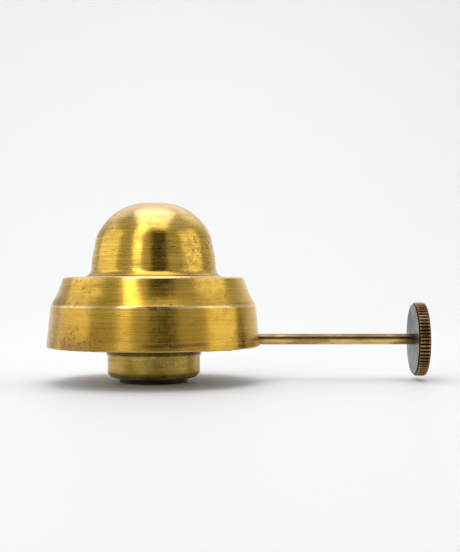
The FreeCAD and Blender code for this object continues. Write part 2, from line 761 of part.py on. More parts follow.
vent = new_body("vent_tube", 0, "vent_y", "vent_foot_z")
vent_sketch = new_sketch(vent, "vent_outline", "XY_Plane")
circle(vent_sketch, 0, 0, "vent_radius")
circle(vent_sketch, 0, 0, "vent_bore")
pad(vent, vent_sketch, "vent_length", "vent_wall_pad")

# ---- wick tube and wick ------------------------------------------------------------------

tube = new_body("wick_tube", 0, 0, "tube_foot_z")
tube_sketch = new_sketch(tube, "tube_outline", "XY_Plane")
oblong(tube_sketch, "tube_half", "tube_half_thick")
oblong(tube_sketch, "tube_inner_half", "tube_inner_half_thick")
pad(tube, tube_sketch, "tube_length", "tube_wall_pad")
for side in ("left", "right"):
    window = new_sketch(tube, "window_%s_outline" % side, "XZ_Plane")
    outline(
        window,
        [
            ("window_%s_a" % side, "window_low"),
            ("window_%s_b" % side, "window_low"),
            ("window_%s_b" % side, "window_high"),
            ("window_%s_a" % side, "window_high"),
        ],
    )
    pocket(tube, window, "window_%s" % side, both=False, reverse=False)

wick = new_body("wick", 0, 0, "wick_bottom")
wick_sketch = new_sketch(wick, "wick_outline", "XY_Plane")
oblong(wick_sketch, "wick_half", "wick_half_thick")
pad(wick, wick_sketch, "wick_length", "wick_pad")
for side in ("left", "right"):
    track = new_sketch(wick, "track_%s_outline" % side, "XY_Plane")
    outline(
        track,
        [
            ("track_%s_a" % side, "track_floor_y"),
            ("track_%s_b" % side, "track_floor_y"),
            ("track_%s_b" % side, "track_past_y"),
            ("track_%s_a" % side, "track_past_y"),
        ],
    )
    pocket(wick, track, "track_%s" % side)

# ---- spindle, wheels, collar, bearings and gland ------------------------------------------

turned_body(
    "spindle",
    [
        ("journal_end_x", 0),
        ("journal_end_x", "journal_radius"),
        ("journal_shoulder_x", "journal_radius"),
        ("journal_shoulder_x", "spindle_radius"),
        ("knob_inner_x", "spindle_radius"),
        ("knob_inner_x", "tenon_radius"),
        ("tenon_end_x", "tenon_radius"),
        ("tenon_end_x", 0),
    ],
    "H_Axis",
    0,
    "spindle_y",
    "spindle_z",
)

TRIANGLES = 4
TOOTH_STEP = 30.0
along_x = FreeCAD.Rotation(FreeCAD.Vector(0, 1, 0), 90)
for side in ("left", "right"):
    blades = []
    for k in range(TRIANGLES):
        blade = doc.addObject("Part::Prism", "wheel_%s_blade_%d" % (side, k + 1))
        blade.Polygon = 3
        bind(blade, "Circumradius", "wheel_tip_radius")
        bind(blade, "Height", "wheel_thick")
        turn = FreeCAD.Rotation(FreeCAD.Vector(0, 0, 1), TOOTH_STEP * k)
        blade.Placement = FreeCAD.Placement(FreeCAD.Vector(), along_x.multiply(turn))
        blades.append(blade)
    star = doc.addObject("Part::MultiFuse", "wheel_%s_star" % side)
    star.Shapes = blades
    eye = doc.addObject("Part::Cylinder", "wheel_%s_eye" % side)
    bind(eye, "Radius", "spindle_radius")
    bind(eye, "Height", "wheel_thick")
    eye.Placement = FreeCAD.Placement(FreeCAD.Vector(), along_x)
    wheel = doc.addObject("Part::Cut", "spur_wheel_%s" % side)
    wheel.Label = "spur_wheel_%s" % side
    wheel.Base = star
    wheel.Tool = eye
    bind(wheel, ".Placement.Base.x", "wheel_%s_x" % side)
    bind(wheel, ".Placement.Base.y", "spindle_y")
    bind(wheel, ".Placement.Base.z", "spindle_z")

turned_body(
    "thrust_collar",
    [
        ("collar_start_x", "spindle_radius"),
        ("collar_end_x", "spindle_radius"),
        ("collar_end_x", "collar_radius"),
        ("collar_start_x", "collar_radius"),
    ],
    "H_Axis",
    0,
    "spindle_y",
    "spindle_z",
)

turned_body(
    "end_bearing",
    [
        ("bush_outer_x", 0),
        ("bush_outer_x", "bush_radius"),
        ("bush_inner_x", "bush_radius"),
        ("bush_inner_x", "bush_bore"),
        ("bush_floor_x", "bush_bore"),
        ("bush_floor_x", 0),
    ],
    "H_Axis",
    0,
    "spindle_y",
    "spindle_z",
)

turned_body(
    "gland_body",
    [
        ("gland_inner_x", "gland_bore"),
        ("gland_inner_x", "gland_radius"),
        ("gland_outer_x", "gland_radius"),
        ("gland_outer_x", "gland_cavity"),
        ("gland_seat_x", "gland_cavity"),
        ("gland_seat_x", "gland_bore"),
    ],
    "H_Axis",
    0,
    "spindle_y",
    "spindle_z",
)

turned_body(
    "gland_packing",
    [
        ("gland_seat_x", "gland_bore"),
        ("packing_end_x", "gland_bore"),
        ("packing_end_x", "gland_cavity"),
        ("gland_seat_x", "gland_cavity"),
    ],
    "H_Axis",
    0,
    "spindle_y",
    "spindle_z",
)

nut = turned_body(
    "gland_nut",
    [
        ("nut_start_x", "gland_radius"),
        ("nut_start_x", "nut_corner_radius"),
        ("nut_chamfer_x", "nut_corner_radius"),
        ("nut_end_x", "nut_chamfer_radius"),
        ("nut_end_x", "nut_bore"),
        ("packing_end_x", "nut_bore"),
        ("packing_end_x", "gland_cavity"),
        ("nut_roof_x", "gland_cavity"),
        ("nut_roof_x", "gland_radius"),
    ],
    "H_Axis",
    0,
    "spindle_y",
    "spindle_z",
)
flats = new_sketch(nut, "nut_flats_outline", "YZ_Plane")
outline(
    flats,
    [
        ("nut_corner_radius", 0),
        ("nut_mid", "nut_flat"),
        ("nut_mid_low", "nut_flat"),
        ("nut_corner_low", 0),
        ("nut_mid_low", "nut_flat_low"),
        ("nut_mid", "nut_flat_low"),
    ],
)
circle(flats, 0, 0, "nut_blank")
pocket(nut, flats, "nut_flats")

# ---- knob ----------------------------------------------------------------------------------

knob = turned_body(
    "knob",
    [
        ("knob_inner_x", "tenon_radius"),
        ("knob_inner_x", "knob_bevel_radius"),
        ("knob_bevel_x", "knob_radius"),
        ("knob_outer_x", "knob_radius", "knob_round"),
        ("knob_outer_x", "knob_rim_bore"),
        ("knob_dish_x", "knob_rim_bore"),
        ("knob_dish_x", "knob_boss_radius"),
        ("knob_boss_x", "knob_boss_radius"),
        ("knob_boss_x", "tenon_radius"),
    ],
    "H_Axis",
    0,
    "spindle_y",
    "spindle_z",
)
knurl_sketch = new_sketch(knob, "knurl_outline", "YZ_Plane")
outline(
    knurl_sketch,
    [
        (0, "knurl_root"),
        ("knurl_half_width", "knurl_out"),
        ("knurl_left", "knurl_out"),
    ],
)
knurl = pocket(knob, knurl_sketch, "knurl_groove")
around(knob, knurl, "X_Axis", "knurl_count", "knurl_round_rim")

# ---- draught basket, hood clips and rivets ---------------------------------------------------

basket = turned_body(
    "draught_basket",
    [
        ("cup_bore", "cup_top_z"),
        ("basket_radius", "cup_top_z", "basket_round"),
        ("basket_radius", "basket_lip_z"),
        ("basket_lip_radius", "basket_lip_z"),
        ("basket_lip_radius", "basket_top_z"),
        ("basket_bore", "basket_top_z"),
        ("basket_bore", "plate_top_z", "basket_inner_round"),
        ("cup_bore", "plate_top_z"),
    ],
)
for ring in ("small", "large"):
    port_sketch = new_sketch(basket, "port_%s_outline" % ring, "XY_Plane")
    circle(port_sketch, "port_ring_%s" % ring, 0, "port_radius_%s" % ring)
    port = pocket(basket, port_sketch, "port_%s" % ring)
    around(basket, port, "Z_Axis", "port_count", "ports_%s" % ring)
louvre_sketch = new_sketch(basket, "louvre_outline", "YZ_Plane")
outline(
    louvre_sketch,
    [
        ("louvre_left", "louvre_low_z"),
        ("louvre_half_width", "louvre_low_z"),
        ("louvre_half_width", "louvre_high_z"),
        ("louvre_left", "louvre_high_z"),
    ],
)
turn_about_z(louvre_sketch, "180 / Sizes.port_count")
louvre = pocket(basket, louvre_sketch, "louvre", both=False, reverse=True)
around(basket, louvre, "Z_Axis", "port_count", "louvres")

rivet_hole_sketch = new_sketch(basket, "rivet_hole_outline", "YZ_Plane")
circle(rivet_hole_sketch, 0, "rivet_z", "rivet_radius")
rivet_hole = pocket(basket, rivet_hole_sketch, "rivet_hole", both=False, reverse=True)
around(basket, rivet_hole, "Z_Axis", "clip_count", "rivet_holes")
bind(basket, ".Placement.Rotation.Angle", "clip_first_angle")

for number in range(int(size("clip_count"))):
    label = "hood_clip_%d" % (number + 1)
    clip = new_body(label)
    clip_sketch = new_sketch(clip, label + "_outline", "XZ_Plane")
    outline(
        clip_sketch,
        [
            ("clip_inner", "clip_foot_z"),
            ("clip_outer", "clip_foot_z"),
            ("clip_outer", "clip_bend_z", "clip_round"),
            ("clip_bow_outer", "clip_bow_z", "clip_round"),
            ("clip_tail_outer", "clip_tail_z"),
            ("clip_tail_inner", "clip_tail_z"),
            ("clip_bow_inner", "clip_bow_z"),
            ("clip_inner", "clip_bend_z"),
        ],
    )
    revolve(clip, clip_sketch, "V_Axis", label + "_bent", "clip_angle")
    clip_hole = new_sketch(clip, label + "_hole_outline", "YZ_Plane")
    circle(clip_hole, 0, "rivet_z", "rivet_radius")
    pocket(clip, clip_hole, label + "_hole")
    clip.setExpression(
        ".Placement.Rotation.Angle",
        "Sizes.clip_first_angle + %d / Sizes.clip_count" % (number * FULL_TURN),
    )

rivets = new_body("clip_rivets")
rivets.AllowCompound = True
rivet_sketch = new_sketch(rivets, "rivet_outline", "XZ_Plane")
outline(
    rivet_sketch,
    [
        ("rivet_in_start", "rivet_z"),
        ("rivet_in_start", "rivet_head_z"),
        ("basket_bore", "rivet_head_z"),
        ("basket_bore", "rivet_shank_z"),
        ("clip_outer", "rivet_shank_z"),
        ("clip_outer", "rivet_head_z"),
        ("rivet_out_end", "rivet_head_z", "rivet_head_round"),
        ("rivet_out_end", "rivet_z"),
    ],
)
axis_start = FreeCAD.Vector(0, size("rivet_z"), 0)
axis_end = FreeCAD.Vector(size("basket_bore"), size("rivet_z"), 0)
rivet_axis = rivet_sketch.addGeometry(Part.LineSegment(axis_start, axis_end), True)
fix_point(rivet_sketch, rivet_axis, 1, 0, "rivet_z")
fix_point(rivet_sketch, rivet_axis, 2, "basket_bore", "rivet_z")
rivet_turned = revolve(rivets, rivet_sketch, "Axis0", "rivet_turned")
around(rivets, rivet_turned, "Z_Axis", "clip_count", "rivet_ring")
bind(rivets, ".Placement.Rotation.Angle", "clip_first_angle")

# ---- checks and export -------------------------------------------------------------------------

doc.recompute()
for obj in doc.Objects:
    if "Invalid" in obj.State or "Error" in obj.State or not obj.isValid():
        raise RuntimeError("%s is %s" % (obj.Name, obj.State))
for sketch in doc.findObjects("Sketcher::SketchObject"):
    if sketch.solve() != 0:
        raise RuntimeError(sketch.Name + " does not solve")

nodes = [o for o in doc.Objects if o.TypeId == "PartDesign::Body" or o.Label.startswith("spur_wheel_")]
os.makedirs("parts", exist_ok=True)
for node in nodes:
    if node.Shape.isNull() or not node.Shape.isValid():
        raise RuntimeError(node.Label + " has no valid shape")
    node.Shape.exportStep("parts/%s.step" % node.Label)
    print(node.Label, round(node.Shape.Volume, 2), len(node.Shape.Solids))
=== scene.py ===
import math
import random

import bmesh
import bpy
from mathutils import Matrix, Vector


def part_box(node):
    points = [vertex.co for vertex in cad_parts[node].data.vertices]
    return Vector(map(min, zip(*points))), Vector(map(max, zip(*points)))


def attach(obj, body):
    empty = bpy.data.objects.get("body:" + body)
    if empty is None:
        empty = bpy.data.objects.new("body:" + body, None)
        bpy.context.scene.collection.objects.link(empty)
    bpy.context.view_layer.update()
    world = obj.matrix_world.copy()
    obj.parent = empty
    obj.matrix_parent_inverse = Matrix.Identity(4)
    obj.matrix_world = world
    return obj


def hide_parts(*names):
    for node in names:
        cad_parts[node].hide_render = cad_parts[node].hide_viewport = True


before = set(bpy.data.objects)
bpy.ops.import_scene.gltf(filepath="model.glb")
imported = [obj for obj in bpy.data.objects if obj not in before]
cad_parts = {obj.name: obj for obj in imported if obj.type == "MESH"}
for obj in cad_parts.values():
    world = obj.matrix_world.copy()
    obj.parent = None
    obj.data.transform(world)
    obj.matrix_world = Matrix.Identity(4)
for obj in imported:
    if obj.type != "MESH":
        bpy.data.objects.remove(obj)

MM = 0.001
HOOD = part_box("flame_hood")
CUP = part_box("neck_cup")
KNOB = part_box("knob")
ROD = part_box("spindle")
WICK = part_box("wick")
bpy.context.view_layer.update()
# levels: the underside of the hood's step, the bend above its skirt, the top of the plain collar
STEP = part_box("draught_basket")[1].z
SHOULDER = STEP - 6.7 * MM
COLLAR_TOP = 7.5 * MM
COLLAR_WIDTH = 0.65 * MM
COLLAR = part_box("thrust_collar")
SPINDLE_RADIUS = (COLLAR[1].z - COLLAR[0].z) / 2 - COLLAR_WIDTH
# keeps a division by a radius away from zero
TINY = 0.0001


# ---- node wiring -----------------------------------------------------------------------------

class Wire:
    """A value on its way through a finish's nodes; arithmetic on it adds Math nodes."""

    def __init__(self, finish, socket):
        self.finish = finish
        self.socket = socket

    def _math(self, operation, *values):
        return self.finish.node("ShaderNodeMath", {"operation": operation}, dict(enumerate(values)))

    def __add__(self, other):
        return self._math("ADD", self, other)

    def __radd__(self, other):
        return self._math("ADD", other, self)

    def __sub__(self, other):
        return self._math("SUBTRACT", self, other)

    def __rsub__(self, other):
        return self._math("SUBTRACT", other, self)

    def __mul__(self, other):
        return self._math("MULTIPLY", self, other)

    def __rmul__(self, other):
        return self._math("MULTIPLY", other, self)

    def __truediv__(self, other):
        return self._math("DIVIDE", self, other)


class Finish:
    """A procedural material: a Principled shader and the nodes that drive it."""

    def __init__(self, name, **constants):
        self.material = bpy.data.materials.new(name)
        self.material.use_nodes = True
        self.tree = self.material.node_tree
        self.shader = self.tree.nodes["Principled BSDF"]
        for socket, value in constants.items():
            self.shader.inputs[socket.replace("_", " ")].default_value = value
        place = self.node("ShaderNodeTexCoord", output="Object")
        self.place = place
        self.x = self.node("ShaderNodeSeparateXYZ", values={0: place}, output="X")
        self.y = self.node("ShaderNodeSeparateXYZ", values={0: place}, output="Y")
        self.z = self.node("ShaderNodeSeparateXYZ", values={0: place}, output="Z")

    def facing(self, axis):
        """One part, X, Y or Z, of the way that the surface faces."""
        normal = self.node("ShaderNodeTexCoord", output="Normal")
        return self.node("ShaderNodeSeparateXYZ", values={0: normal}, output=axis)

    def node(self, kind, settings=None, values=None, output=0):
        """Adds a node, sets it up, fills or links its sockets and returns one output."""
        made = self.tree.nodes.new(kind)
        for key, value in (settings or {}).items():
            if key == "stops":
                ramp = made.color_ramp
                while len(ramp.elements) < len(value):
                    ramp.elements.new(0.5)
                for element, (position, colour) in zip(ramp.elements, value):
                    element.position = position
                    element.color = (*colour, 1.0)
            else:
                setattr(made, key, value)
        for key, value in (values or {}).items():
            if isinstance(value, Wire):
                self.tree.links.new(value.socket, made.inputs[key])
            else:
                made.inputs[key].default_value = value
        return Wire(self, made.outputs[output])

    def noise(self, vector, scale, detail=3.0, roughness=0.5, w=None, distortion=0.0):
        """Fractal noise between 0 and 1 at a place."""
        settings = {"noise_dimensions": "3D" if w is None else "4D"}
        values = {"Vector": vector, "Scale": scale, "Detail": detail}
        values.update({"Roughness": roughness, "Distortion": distortion})
        if w is not None:
            values["W"] = w
        return self.node("ShaderNodeTexNoise", settings, values, "Fac")

    def cells(self, vector, scale):
        """Distance to the nearest of scattered points."""
        values = {"Vector": vector, "Scale": scale}
        return self.node("ShaderNodeTexVoronoi", None, values, "Distance")

    def vector(self, x, y, z):
        return self.node("ShaderNodeCombineXYZ", None, {0: x, 1: y, 2: z})

    def fade(self, value, low, high, out_low=0.0, out_high=1.0):
        """A smooth step from out_low at low to out_high at high."""
        settings = {"interpolation_type": "SMOOTHSTEP"}
        values = {0: value, 1: low, 2: high, 3: out_low, 4: out_high}
        return self.node("ShaderNodeMapRange", settings, values)

    def blend(self, share, first, second):
        """Mixes two colours."""
        settings = {"data_type": "RGBA"}
        first = first if isinstance(first, Wire) else (*first, 1.0)
        second = second if isinstance(second, Wire) else (*second, 1.0)
        return self.node("ShaderNodeMix", settings, {0: share, 6: first, 7: second}, 2)

    def reach(self, a, b):
        """The length of a step that goes a one way and b across it."""
        return self.node("ShaderNodeMath", {"operation": "SQRT"}, {0: a * a + b * b})

    def radius(self):
        """Distance from the burner's axis."""
        return self.reach(self.x, self.y)

    def bump(self, height, depth):
        """A bump of the given depth in metres; returns the bent normal."""
        return self.node("ShaderNodeBump", None, {"Height": height, "Distance": depth, "Strength": 1.0})

    def finish(self, **links):
        """Feeds the shader: Base_Color, Roughness, Metallic, Coat_Weight, Normal."""
        for socket, value in links.items():
            self.tree.links.new(value.socket, self.shader.inputs[socket.replace("_", " ")])
        return self.material


# ---- brass -----------------------------------------------------------------------------------

def lathe_marks(f, pitch, along, seed):
    """Noise drawn out into marks round the burner's axis: pitch apart, shorter as along grows."""
    r = f.radius()
    turn = f.vector(f.x / (r + TINY) * along + seed, f.y / (r + TINY) * along, r / pitch)
    return f.noise(turn, 1.0, 3.0, 0.65, w=f.z / pitch)


def turned_brass(name, bright, dark, rough, tarnish, marks=1.0):
    """Brass turned about the burner's axis: fine and broad rings, scratches, tarnish and small pits."""
    f = Finish(name, Metallic=1.0, Anisotropic=0.55, Anisotropic_Rotation=0.25)
    fine = lathe_marks(f, 0.2 * MM, 0.8, 0.0)
    rings = lathe_marks(f, 0.42 * MM, 1.1, 3.0)
    broad = lathe_marks(f, 2.6 * MM, 0.7, 7.0)
    short = lathe_marks(f, 0.42 * MM, 7.0, 11.0)
    clouds = f.noise(f.place, 95.0, 5.0, 0.62, distortion=0.6)
    grain = f.noise(f.place, 520.0, 4.0, 0.65)
    scratch = f.fade(short, 0.60, 0.70)
    glint = f.fade(short, 0.38, 0.30)
    pits = f.fade(f.cells(f.place, 330.0), 0.05, 0.12, 1.0, 0.0) * f.fade(clouds, 0.50, 0.58)
    specks = f.fade(f.cells(f.place, 900.0), 0.10, 0.22, 1.0, 0.0) * f.fade(grain, 0.50, 0.60)
    dull = f.fade(clouds * 0.65 + grain * 0.35, 0.47, 0.62) * tarnish
    colour = f.blend(f.fade(rings * 0.6 + fine * 0.4, 0.36, 0.62), dark, bright)
    colour = f.blend(f.fade(broad, 0.42, 0.66) * 0.35, colour, tuple(c * 0.75 for c in dark))
    colour = f.blend(scratch * (0.55 * marks), colour, (0.17, 0.10, 0.025))
    colour = f.blend(glint * (0.3 * marks), colour, (0.98, 0.76, 0.30))
    colour = f.blend(dull, colour, (0.36, 0.20, 0.07))
    colour = f.blend(specks * (0.5 * marks), colour, (0.20, 0.11, 0.035))
    colour = f.blend(pits * 0.85, colour, (0.07, 0.035, 0.012))
    roughness = rough + f.fade(rings, 0.3, 0.7) * 0.05 + dull * 0.22 + pits * 0.25 + specks * 0.1
    height = rings * 0.7 + fine * 0.25 - scratch * 0.35 - pits * 1.6
    return f, colour, roughness, f.bump(height, 0.009 * MM)


def hood_brass():
    """The hood's brass: tarnish in its corners, a stain on the skirt, painted highlights on its edges and
    crown, painted shade on its left and low down, freckles, soot inside.
    """
    f, colour, roughness, normal = turned_brass(
        "hood_brass", (0.87, 0.57, 0.105), (0.66, 0.395, 0.042), 0.21, 0.40, 1.45)
    rim = HOOD[0].z
    clouds = f.noise(f.place, 210.0, 4.0, 0.65)
    wave = f.noise(f.place, 160.0, 3.0, 0.6) - 0.5
    r = f.radius()
    # brown in the corner at the dome's foot, along the bottom of the flare and just above the rim
    foot = f.fade(f.z, STEP + 0.2 * MM, STEP + 2.6 * MM, 1.0, 0.0) * f.fade(r, 19.6 * MM, 18.2 * MM)
    foot = foot * f.fade(f.z, STEP - 0.5 * MM, STEP - 0.2 * MM)
    bend = f.fade(f.z, SHOULDER - 0.6 * MM, SHOULDER + 0.5 * MM)
    bend = bend * f.fade(f.z, SHOULDER + 1.2 * MM, SHOULDER + 3.4 * MM, 1.0, 0.0)
    hem = f.fade(f.z, rim + 0.7 * MM, rim + 4.5 * MM, 1.0, 0.0)
    left = f.fade(f.x, -6.0 * MM, -17.0 * MM)
    # painted highlight: paler on the upward-facing crown
    crown_highlight = f.fade(f.facing("Z"), 0.42, 0.86) * f.fade(r, 17.0 * MM, 15.0 * MM)
    colour = f.blend(crown_highlight * 0.55, colour, (0.84, 0.63, 0.38))
    brown = foot * 0.8 + bend * (0.12 + left * 0.55) * f.fade(clouds, 0.40, 0.62)
    brown = brown + hem * (0.16 + left * 0.5) * f.fade(clouds, 0.38, 0.60)
    # the skirt and flare have toned redder than the dome
    toned = f.fade(f.z, STEP + 0.5 * MM, STEP - 5.0 * MM)
    colour = f.blend(toned * 0.24, colour, (0.66, 0.35, 0.022))
    # painted shade: the left of the skirt and flare darkened
    colour = f.blend(toned * f.fade(f.x, -9.0 * MM, -21.0 * MM) * 0.22, colour, (0.26, 0.15, 0.035))
    shade = f.fade(f.z, rim + 13.0 * MM, rim + 5.0 * MM) * 0.16
    colour = f.blend(shade, colour, (0.24, 0.13, 0.025))
    colour = f.blend(brown, colour, (0.30, 0.155, 0.065))
    # a wavy water stain low on the front of the skirt
    drip = f.z + wave * (2.4 * MM)
    band = f.fade(drip, rim + 1.0 * MM, rim + 1.5 * MM)
    band = band * f.fade(drip, rim + 1.8 * MM, rim + 2.4 * MM, 1.0, 0.0)
    side = f.fade(f.x, -3.0 * MM, 1.0 * MM) * f.fade(f.x, 13.0 * MM, 17.0 * MM, 1.0, 0.0)
    colour = f.blend(band * side * 0.62, colour, (0.15, 0.08, 0.028))
    # dark speckled tarnish low on the left of the skirt
    speckle = f.fade(f.noise(f.vector(f.x, f.y, f.z * 1.6), 760.0, 4.0, 0.72), 0.52, 0.62)
    speckle = speckle * left * f.fade(f.z, rim + 10.0 * MM, rim + 1.5 * MM) * f.fade(clouds, 0.36, 0.54)
    colour = f.blend(speckle * 0.75, colour, (0.13, 0.065, 0.025))
    # painted highlights: bright lines on the bend above the skirt and on the rim of the step
    bend_highlight = f.fade(f.z, SHOULDER - 0.55 * MM, SHOULDER - 0.2 * MM)
    bend_highlight = bend_highlight * f.fade(f.z, SHOULDER + 0.45 * MM, SHOULDER + 0.1 * MM)
    step_edge_highlight = f.fade(f.z, STEP + 0.25 * MM, STEP + 0.7 * MM) * f.fade(r, 22.0 * MM, 23.4 * MM)
    edge_highlights = bend_highlight * f.fade(clouds, 0.62, 0.40, 0.35, 0.75) + step_edge_highlight * 0.7
    colour = f.blend(edge_highlights, colour, (1.0, 0.80, 0.44))
    # freckles on one side of the dome
    freckles = f.fade(f.cells(f.place, 620.0), 0.16, 0.34, 1.0, 0.0)
    fine_clouds = f.fade(f.noise(f.place, 900.0, 3.0, 0.7), 0.46, 0.60)
    flank = f.fade(f.x, 5.0 * MM, 13.0 * MM) * f.fade(f.z, STEP + 1.0 * MM, STEP + 4.0 * MM)
    flank = flank * f.fade(f.z, STEP + 15.0 * MM, STEP + 11.0 * MM)
    spots = flank * (freckles * 0.55 + fine_clouds * 0.35) * f.fade(clouds, 0.38, 0.55)
    colour = f.blend(spots, colour, (0.20, 0.115, 0.05))
    # soot where the flame burns, on the inside only
    outward = (f.facing("X") * f.x + f.facing("Y") * f.y) / (r + TINY)
    inside = f.fade(outward + f.facing("Z") * 0.8, -0.12, -0.34)
    soot = inside * f.fade(f.z + wave * (9.0 * MM), STEP - 6.0 * MM, STEP + 9.0 * MM, 0.35, 0.97)
    colour = f.blend(soot, colour, (0.022, 0.018, 0.015))
    roughness = roughness + brown * 0.2 + spots * 0.2 + soot * 0.4
    return f.finish(Base_Color=colour, Roughness=roughness, Normal=normal)


def cup_brass():
    """Olive, dulled brass with bright scuffs where the collar has rubbed on its tank, and painted shade above
    the collar, where the hood shades it.
    """
    f, colour, roughness, normal = turned_brass(
        "cup_brass", (0.61, 0.435, 0.095), (0.40, 0.27, 0.045), 0.30, 0.4)
    top = f.fade(f.z, COLLAR_TOP - 3.2 * MM, COLLAR_TOP - 0.8 * MM)
    scuffs = f.fade(f.noise(f.vector(f.x, f.y, f.z * 2.2), 620.0, 4.0, 0.7), 0.57, 0.65) * top
    colour = f.blend(scuffs * 0.75, colour, (0.85, 0.72, 0.36))
    # painted shade: the cup darkened above the collar, where the hood's shadow falls on it
    hood_shade = f.fade(f.z, COLLAR_TOP - 0.1 * MM, COLLAR_TOP + 0.4 * MM)
    colour = f.blend(hood_shade * 0.85, colour, (0.06, 0.04, 0.018))
    low = f.fade(f.z, CUP[0].z + 2.2 * MM, CUP[0].z + 0.4 * MM)
    stain = low * f.fade(f.noise(f.place, 300.0, 4.0, 0.6), 0.42, 0.60)
    colour = f.blend(stain * 0.6, colour, (0.10, 0.06, 0.025))
    return f.finish(Base_Color=colour, Roughness=roughness + stain * 0.15, Normal=normal)


def inner_brass():
    """The brass under the hood, browned by heat towards the flame."""
    f, colour, roughness, normal = turned_brass(
        "inner_brass", (0.78, 0.51, 0.13), (0.52, 0.32, 0.07), 0.26, 0.45, 0.6)
    wave = f.noise(f.place, 260.0, 3.0, 0.6)
    heat = f.fade(f.z + wave * (6.0 * MM), STEP - 6.0 * MM, STEP + 13.0 * MM)
    colour = f.blend(heat * 0.85, colour, (0.10, 0.055, 0.035))
    return f.finish(Base_Color=colour, Roughness=roughness + heat * 0.25, Normal=normal)


def spring_brass():
    f = Finish("spring_brass", Metallic=1.0)
    rolled = f.noise(f.vector(f.x * 0.05, f.y * 0.05, f.z), 9000.0, 3.0, 0.6)
    clouds = f.noise(f.place, 300.0, 3.0, 0.6)
    colour = f.blend(rolled, (0.62, 0.40, 0.10), (0.78, 0.52, 0.15))
    colour = f.blend(f.fade(clouds, 0.5, 0.7) * 0.4, colour, (0.30, 0.17, 0.06))
    return f.finish(Base_Color=colour, Roughness=0.28 + clouds * 0.16, Normal=f.bump(rolled, 0.004 * MM))


def rod_coordinates(f):
    """How far a place lies behind and above the spindle's axis."""
    return f.y - (ROD[0].y + ROD[1].y) / 2, f.z - (ROD[0].z + ROD[1].z) / 2


def rod_brass():
    """Drawn wire: long fine draw lines and clouds of tarnish, painted shade along the top and a painted dark
    reflection of the knob's face into the knob.
    """
    f = Finish("rod_brass", Metallic=1.0)
    across, up = rod_coordinates(f)
    draw = f.noise(f.vector(f.x * 0.03, across, up), 5200.0, 3.0, 0.65)
    clouds = f.noise(f.vector(f.x * 0.35, across, up), 420.0, 4.0, 0.6)
    colour = f.blend(draw, (0.52, 0.33, 0.09), (0.88, 0.64, 0.24))
    colour = f.blend(f.fade(clouds, 0.46, 0.64) * 0.65, colour, (0.24, 0.12, 0.045))
    # painted shade: browner along its top; a painted dark reflection of the knob's face where it enters the
    # knob
    upper_shade = f.fade(up, -0.1 * MM, 0.7 * MM) * f.fade(clouds, 0.30, 0.50, 0.55, 0.9)
    colour = f.blend(upper_shade, colour, (0.20, 0.105, 0.05))
    knob_face_reflection = f.fade(f.x, KNOB[0].x - 6.0 * MM, KNOB[0].x) * f.fade(up, -1.0 * MM, 0.3 * MM, 0.55, 1.0)
    colour = f.blend(knob_face_reflection * 0.9, colour, (0.05, 0.032, 0.024))
    return f.finish(Base_Color=colour, Roughness=0.2 + clouds * 0.2, Normal=f.bump(draw, 0.004 * MM))


def knob_bronze():
    """Dark turned faces and a browner rim, brighter where fingers wear the knurl's crests, with painted
    highlights along both edges of the rim.
    """
    f = Finish("knob_bronze", Metallic=1.0)
    across, up = rod_coordinates(f)
    out = f.reach(across, up)
    rim = (KNOB[1].z - KNOB[0].z) / 2
    turn_y = across / (out + TINY) * 0.5
    turn_z = up / (out + TINY) * 0.5
    turned = f.noise(f.vector(out / (0.14 * MM), turn_y, turn_z), 1.0, 4.0, 0.7)
    clouds = f.noise(f.place, 260.0, 4.0, 0.6)
    patches = f.noise(f.place, 150.0, 5.0, 0.62)
    face = f.blend(turned, (0.10, 0.097, 0.10), (0.27, 0.265, 0.27))
    face = f.blend(f.fade(patches, 0.40, 0.60) * 0.85, face, (0.030, 0.022, 0.020))
    face = f.blend(f.fade(clouds, 0.50, 0.70) * 0.4, face, (0.20, 0.11, 0.07))
    # painted highlights: brighter orange bands along both chamfered edges of the knurled rim
    edge = f.fade(f.x, KNOB[0].x + 0.95 * MM, KNOB[0].x + 0.35 * MM)
    edge = edge + f.fade(f.x, KNOB[1].x - 0.8 * MM, KNOB[1].x - 0.25 * MM)
    side = f.blend(f.fade(clouds, 0.35, 0.65), (0.17, 0.10, 0.045), (0.38, 0.24, 0.11))
    side = f.blend(edge * 0.8, side, (0.66, 0.36, 0.10))
    crest = f.fade(out, rim - 0.30 * MM, rim - 0.02 * MM)
    side = f.blend(crest, (0.028, 0.016, 0.009), side)
    outer = f.fade(out, rim - 0.55 * MM, rim - 0.42 * MM)
    colour = f.blend(outer, face, side)
    roughness = 0.22 + turned * 0.12 + patches * 0.16
    height = turned * 0.4 + patches * 3.0
    return f.finish(Base_Color=colour, Roughness=roughness, Normal=f.bump(height, 0.016 * MM))


def wheel_steel():
    f = Finish("wheel_steel", Metallic=1.0)
    grain = f.noise(f.vector(f.x, f.y, f.z * 0.1), 4000.0, 3.0, 0.6)
    spots = f.noise(f.place, 900.0, 3.0, 0.6)
    colour = f.blend(grain, (0.30, 0.29, 0.28), (0.50, 0.49, 0.47))
    colour = f.blend(f.fade(spots, 0.55, 0.7) * 0.5, colour, (0.22, 0.13, 0.08))
    return f.finish(Base_Color=colour, Roughness=0.3 + spots * 0.2, Normal=f.bump(grain, 0.004 * MM))


# ---- rubber, cotton, packing -------------------------------------------------------------------

def gasket_rubber():
    """Black moulded rubber, oily where it is pressed."""
    f = Finish("gasket_rubber", Specular_IOR_Level=0.3)
    grain = f.noise(f.place, 2600.0, 3.0, 0.6)
    smears = f.noise(f.place, 240.0, 3.0, 0.5)
    colour = f.blend(f.fade(smears, 0.4, 0.7), (0.005, 0.005, 0.005), (0.014, 0.012, 0.010))
    return f.finish(Base_Color=colour, Roughness=0.22 + smears * 0.25, Normal=f.bump(grain, 0.01 * MM))


